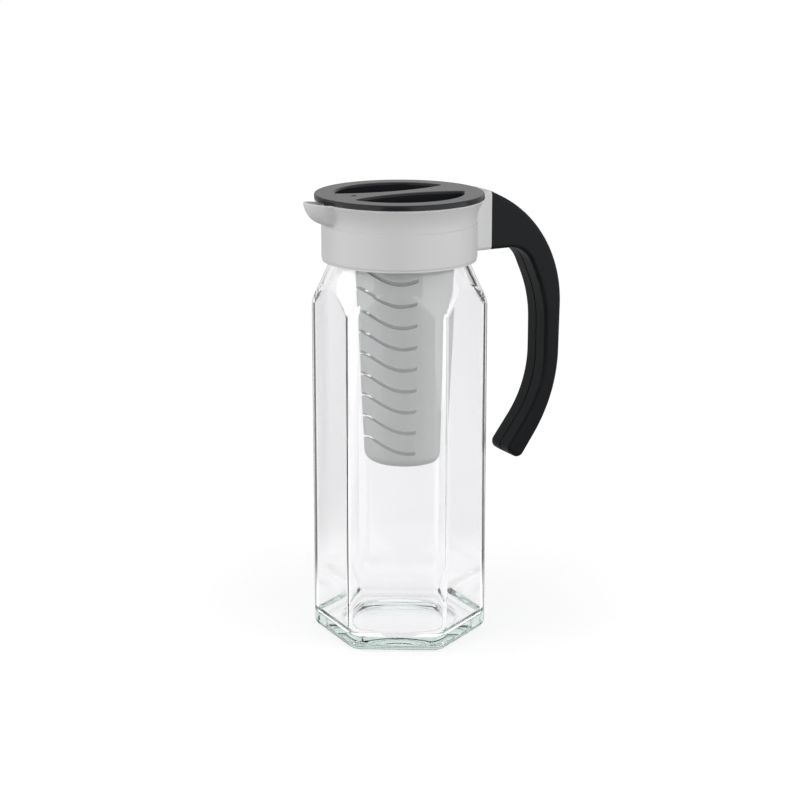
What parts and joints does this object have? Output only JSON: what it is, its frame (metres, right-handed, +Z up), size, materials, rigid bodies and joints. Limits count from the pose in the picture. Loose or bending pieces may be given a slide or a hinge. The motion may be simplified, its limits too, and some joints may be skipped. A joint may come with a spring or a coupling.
{
  "type": "fruit infuser pitcher",
  "caption": "Hexagonal glass infuser pitcher with a bayonet collar and spout, an open clamped handle, a turning pour lid and a slitted fruit basket hung under the lid.",
  "frame": {"origin": "centre of the base, on the surface that the jar stands on", "axes": "+Z up along the jar's axis, +X towards the handle, -X towards the spout"},
  "size_m": [0.165, 0.1026, 0.265],
  "materials": {
    "clear_glass": "clear pressed glass",
    "grey_plastic": "satin moulded plastic",
    "black_plastic": "satin moulded plastic",
    "lid_plastic": "soft gloss moulded plastic",
    "silicone": "translucent silicone",
    "steel": "plain"
  },
  "bodies": {
    "jar": {"glass_jar": "clear_glass"},
    "collar": {"collar": "grey_plastic", "collar_gasket": "silicone", "handle_left_shell": "black_plastic", "handle_right_shell": "black_plastic", "handle_screws": "steel"},
    "seal": {"lid_seal": "silicone"},
    "lid": {"lid": "lid_plastic"},
    "basket": {"infuser_basket": "grey_plastic"}
  },
  "joints": [
    {"name": "collar_turn", "type": "hinge", "parent": "jar", "child": "collar", "pos_m": [0, 0, 0.235], "axis": [0, 0, 1], "range_deg": [0, 60]},
    {"name": "lid_lift", "type": "slide", "parent": "collar", "child": "seal", "axis": [0, 0, 1], "range_m": [0, 0.17]},
    {"name": "lid_turn", "type": "hinge", "parent": "seal", "child": "lid", "pos_m": [0, 0, 0.258], "axis": [0, 0, 1], "continuous": true},
    {"name": "basket_pull", "type": "slide", "parent": "lid", "child": "basket", "axis": [0, 0, -1], "range_m": [0, 0.05]}
  ]
}
